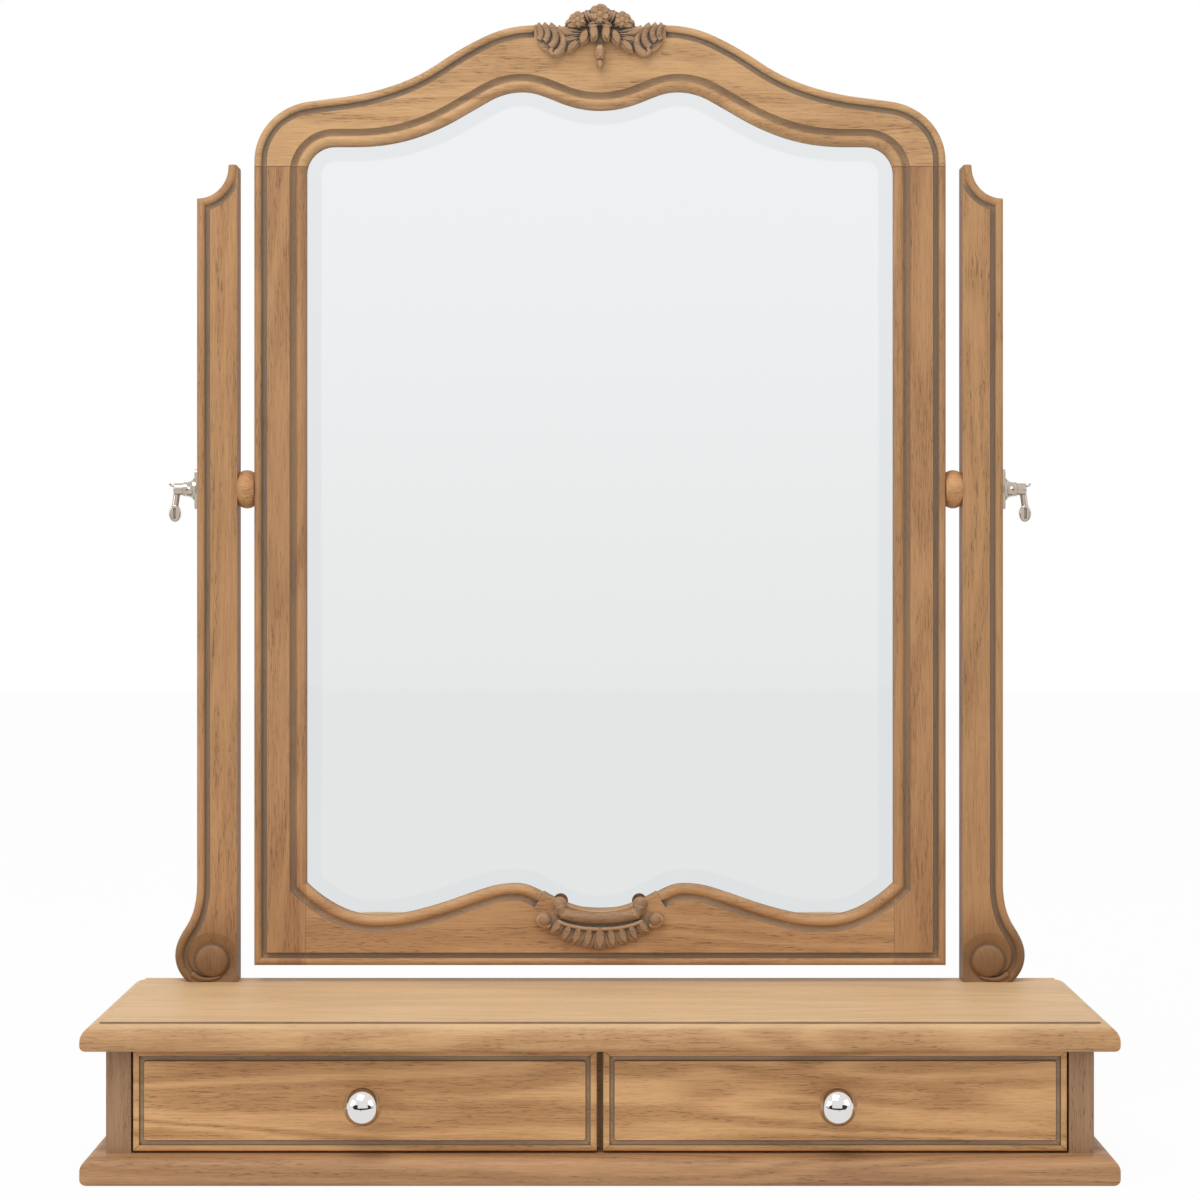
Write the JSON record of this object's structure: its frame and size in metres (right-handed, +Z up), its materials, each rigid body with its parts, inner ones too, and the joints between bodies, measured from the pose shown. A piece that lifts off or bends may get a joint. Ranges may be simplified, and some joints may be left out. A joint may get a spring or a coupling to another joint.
{
  "type": "dressing table mirror",
  "caption": "Free-standing dressing table mirror: bevelled glass in a moulded swinging frame between posts on a low case with drawers, held by side levers.",
  "frame": {"origin": "centre of the plinth's underside, at its middle in width and depth", "axes": "+X to the object's right as seen from the front, +Z up, the front faces -Y"},
  "size_m": [0.665, 0.207, 0.7895],
  "materials": {
    "oiled_wood": "satin",
    "frame_wood": "satin",
    "carved_wood": "satin",
    "drawer_wood": "satin",
    "inner_wood": "bare",
    "polished_metal": "polished",
    "brass_insert": "plain",
    "screw_steel": "plain",
    "silvered_glass": "polished"
  },
  "bodies": {
    "case": {"plinth": "oiled_wood", "top_board": "oiled_wood", "case_side_left": "oiled_wood", "case_side_right": "oiled_wood", "case_divider": "inner_wood", "case_back": "inner_wood", "case_screws": "screw_steel", "post_screws": "screw_steel", "post_left": "oiled_wood", "post_right": "oiled_wood", "pivot_plate_left": "polished_metal", "pivot_plate_right": "polished_metal", "plate_screws": "screw_steel", "bun_spacer_left": "frame_wood", "bun_spacer_right": "frame_wood"},
    "mirror_frame": {"frame_top_rail": "frame_wood", "frame_bottom_rail": "frame_wood", "frame_stile_left": "frame_wood", "frame_stile_right": "frame_wood", "frame_dowels": "inner_wood", "stile_insert_left": "brass_insert", "stile_insert_right": "brass_insert", "mirror_glass": "silvered_glass", "backing_board": "inner_wood", "backing_screws": "screw_steel", "crest_carving": "carved_wood", "lower_carving": "carved_wood"},
    "drawer_left": {"drawer_front_left": "drawer_wood", "drawer_side_inner_left": "inner_wood", "drawer_side_outer_left": "inner_wood", "drawer_back_left": "inner_wood", "drawer_bottom_left": "inner_wood", "knob_left": "polished_metal", "knob_screw_left": "screw_steel"},
    "drawer_right": {"drawer_front_right": "drawer_wood", "drawer_side_inner_right": "inner_wood", "drawer_side_outer_right": "inner_wood", "drawer_back_right": "inner_wood", "drawer_bottom_right": "inner_wood", "knob_right": "polished_metal", "knob_screw_right": "screw_steel"},
    "lever_left": {"lever_handle_left": "polished_metal", "lever_spindle_left": "polished_metal"},
    "lever_right": {"lever_handle_right": "polished_metal", "lever_spindle_right": "polished_metal"}
  },
  "joints": [
    {"name": "mirror_tilt", "type": "hinge", "parent": "case", "child": "mirror_frame", "pos_m": [0, 0.085, 0.45], "axis": [1, 0, 0], "range_deg": [-45, 45]},
    {"name": "drawer_left_slide", "type": "slide", "parent": "case", "child": "drawer_left", "axis": [0, -1, 0], "range_m": [0, 0.12]},
    {"name": "drawer_right_slide", "type": "slide", "parent": "case", "child": "drawer_right", "axis": [0, -1, 0], "range_m": [0, 0.12]},
    {"name": "lever_left_turn", "type": "hinge", "parent": "case", "child": "lever_left", "pos_m": [-0.295, 0.085, 0.45], "axis": [-1, 0, 0], "range_deg": [0, 360]},
    {"name": "lever_right_turn", "type": "hinge", "parent": "case", "child": "lever_right", "pos_m": [0.295, 0.085, 0.45], "axis": [1, 0, 0], "range_deg": [0, 360]}
  ]
}
